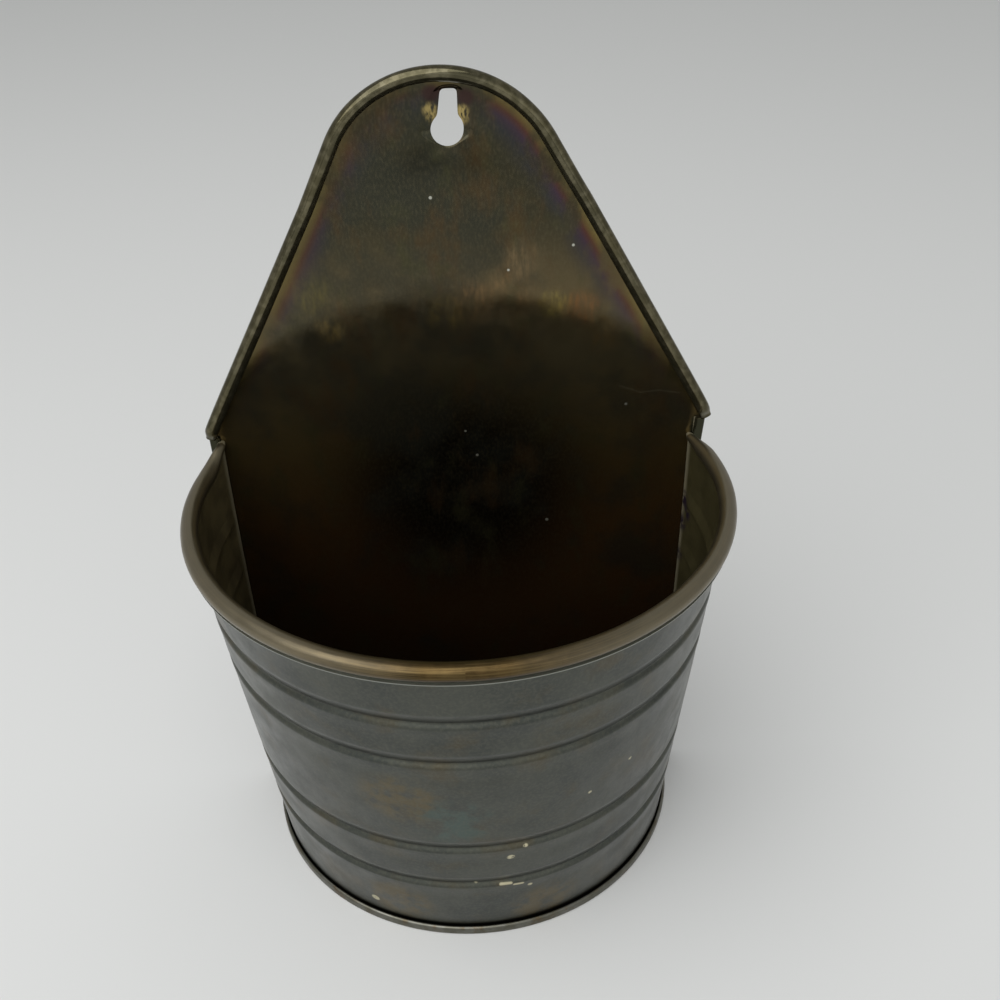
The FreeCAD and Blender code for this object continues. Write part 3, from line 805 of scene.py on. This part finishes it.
ring = []
for radius, z in ring_line:
    limit = math.asin((base_end_y + foot_setback) / radius)
    row = []
    for heading in np.linspace(-math.pi - limit, limit, 200):
        x, y = radius * math.cos(heading), -foot_setback + radius * math.sin(heading)
        dent = wobble((x, y, 0), 26, 9.0) * 0.08 * smooth(1.0, 3.0, z) if radius > 81.5 else 0.0
        row.append((x, y, z + dent))
    ring.append(row)
flange_half, flange_bend = 79.69, 0.75
rear_line = bent_line((base_end_y - sheet / 2 - flange_bend, base_height), 0,
                      [(flange_bend, 90), (6.0, 0)], 18)
flange_line = np.linspace(-flange_half, flange_half, 30)
rear_flange = [[(x, y, z) for x in flange_line] for y, z in rear_line]
sunk_floor = [(x, y, base_height) for x, y, _ in ring[0]]
sunk_floor += [(x, rear_line[0][0], base_height) for x in flange_line[::-1]]
base_sheet = formed_sheet("base_sheet", [ring, rear_flange], [[sunk_floor]])

base_finish, tree, shader, place = satin_metal("gunmetal_patina_base")
colour = over(tree, (0.120, 0.116, 0.090), (0.175, 0.172, 0.150),
              patches(tree, place, 8, 0.38, 0.66, 21.0))
colour = over(tree, colour, (0.130, 0.090, 0.050),
              times(tree, patches(tree, place, 5, 0.52, 0.70, 22.0), 0.7))
foot_radius_mm = from_axis(tree, place, foot_setback)[1]
# Painted shade: the ring's inner top, in the crevice under the wall, is painted near black.
painted_joint_shade = mapped(tree, foot_radius_mm, 82.4, 83.0, 1.0, 0.0)
colour = over(tree, colour, (0.012, 0.010, 0.007), times(tree, painted_joint_shade, 0.9))
tree.links.new(colour, shader.inputs["Base Color"])
grain(tree, place, shader, 0.36, 0.06, 0.20, 4.0)
base_sheet.data.materials.append(base_finish)
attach(base_sheet, "root")
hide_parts("base_plate")


# ==== Floor, light and camera =====================================================
# A plain pale floor, one large soft lamp at the front left, above, and a pale
# surrounding that is a little brighter low down in front.

floor_mesh = bpy.data.meshes.new("floor")
floor_mesh.from_pydata([(-4, -4, 0), (4, -4, 0), (4, 6, 0), (-4, 6, 0)], [], [(0, 1, 2, 3)])
floor = bpy.data.objects.new("floor", floor_mesh)
bpy.context.scene.collection.objects.link(floor)
cloth = bpy.data.materials.new("pale_floor")
cloth.use_nodes = True
shader = cloth.node_tree.nodes["Principled BSDF"]
shader.inputs["Base Color"].default_value = (0.72, 0.725, 0.72, 1)
shader.inputs["Roughness"].default_value = 0.9
shader.inputs["Specular IOR Level"].default_value = 0.1
floor_mesh.materials.append(cloth)

world = bpy.data.worlds.new("pale surrounding")
bpy.context.scene.world = world
world.use_nodes = True
tree = world.node_tree
sky = tree.nodes["Background"]
sky.inputs["Color"].default_value = (0.81, 0.82, 0.81, 1)
way = add(tree, "ShaderNodeTexCoord").outputs["Generated"]
toward = add(tree, "ShaderNodeSeparateXYZ", {0: way})
ahead = mapped(tree, toward.outputs["Y"], -0.35, -0.85)
low_down = mapped(tree, toward.outputs["Z"], 0.30, 0.62, 1.0, 0.0)
glow = sums(tree, "MULTIPLY_ADD", times(tree, ahead, low_down), 0.75, 0.56)
tree.links.new(glow, sky.inputs["Strength"])


def soft_lamp(name, place_at, aim, size, power):
    """A square soft lamp that faces a point."""
    light = bpy.data.lights.new(name, "AREA")
    light.shape = "SQUARE"
    light.size = size
    light.energy = power
    lamp = bpy.data.objects.new(name, light)
    lamp.location = place_at
    lamp.rotation_euler = (Vector(aim) - Vector(place_at)).to_track_quat("-Z", "Y").to_euler()
    bpy.context.scene.collection.objects.link(lamp)


soft_lamp("front lamp", (-0.6, -0.95, 1.5), (0, 0, 0.1), 2.0, 30)

view = bpy.data.cameras.new("view")
film_mm, focal_px, picture_px = 36.0, 1155.41, 1000
view.sensor_width = film_mm
view.lens = film_mm * focal_px / picture_px
view.clip_start = 0.01
camera = bpy.data.objects.new("view", view)
bpy.context.scene.collection.objects.link(camera)
camera_right = Vector((0.99863503, -0.04707209, -0.02263413))
camera_up = Vector((0.04477597, 0.54842018, 0.83500324))
camera_back = -Vector((0.02689233, 0.83487695, -0.5497793))
facing = Matrix((camera_right, camera_up, camera_back)).transposed().to_4x4()
camera.matrix_world = Matrix.Translation((0.003144, -0.30638, 0.38227)) @ facing
bpy.context.scene.camera = camera
bpy.context.scene.view_settings.view_transform = "Standard"

bpy.context.view_layer.update()
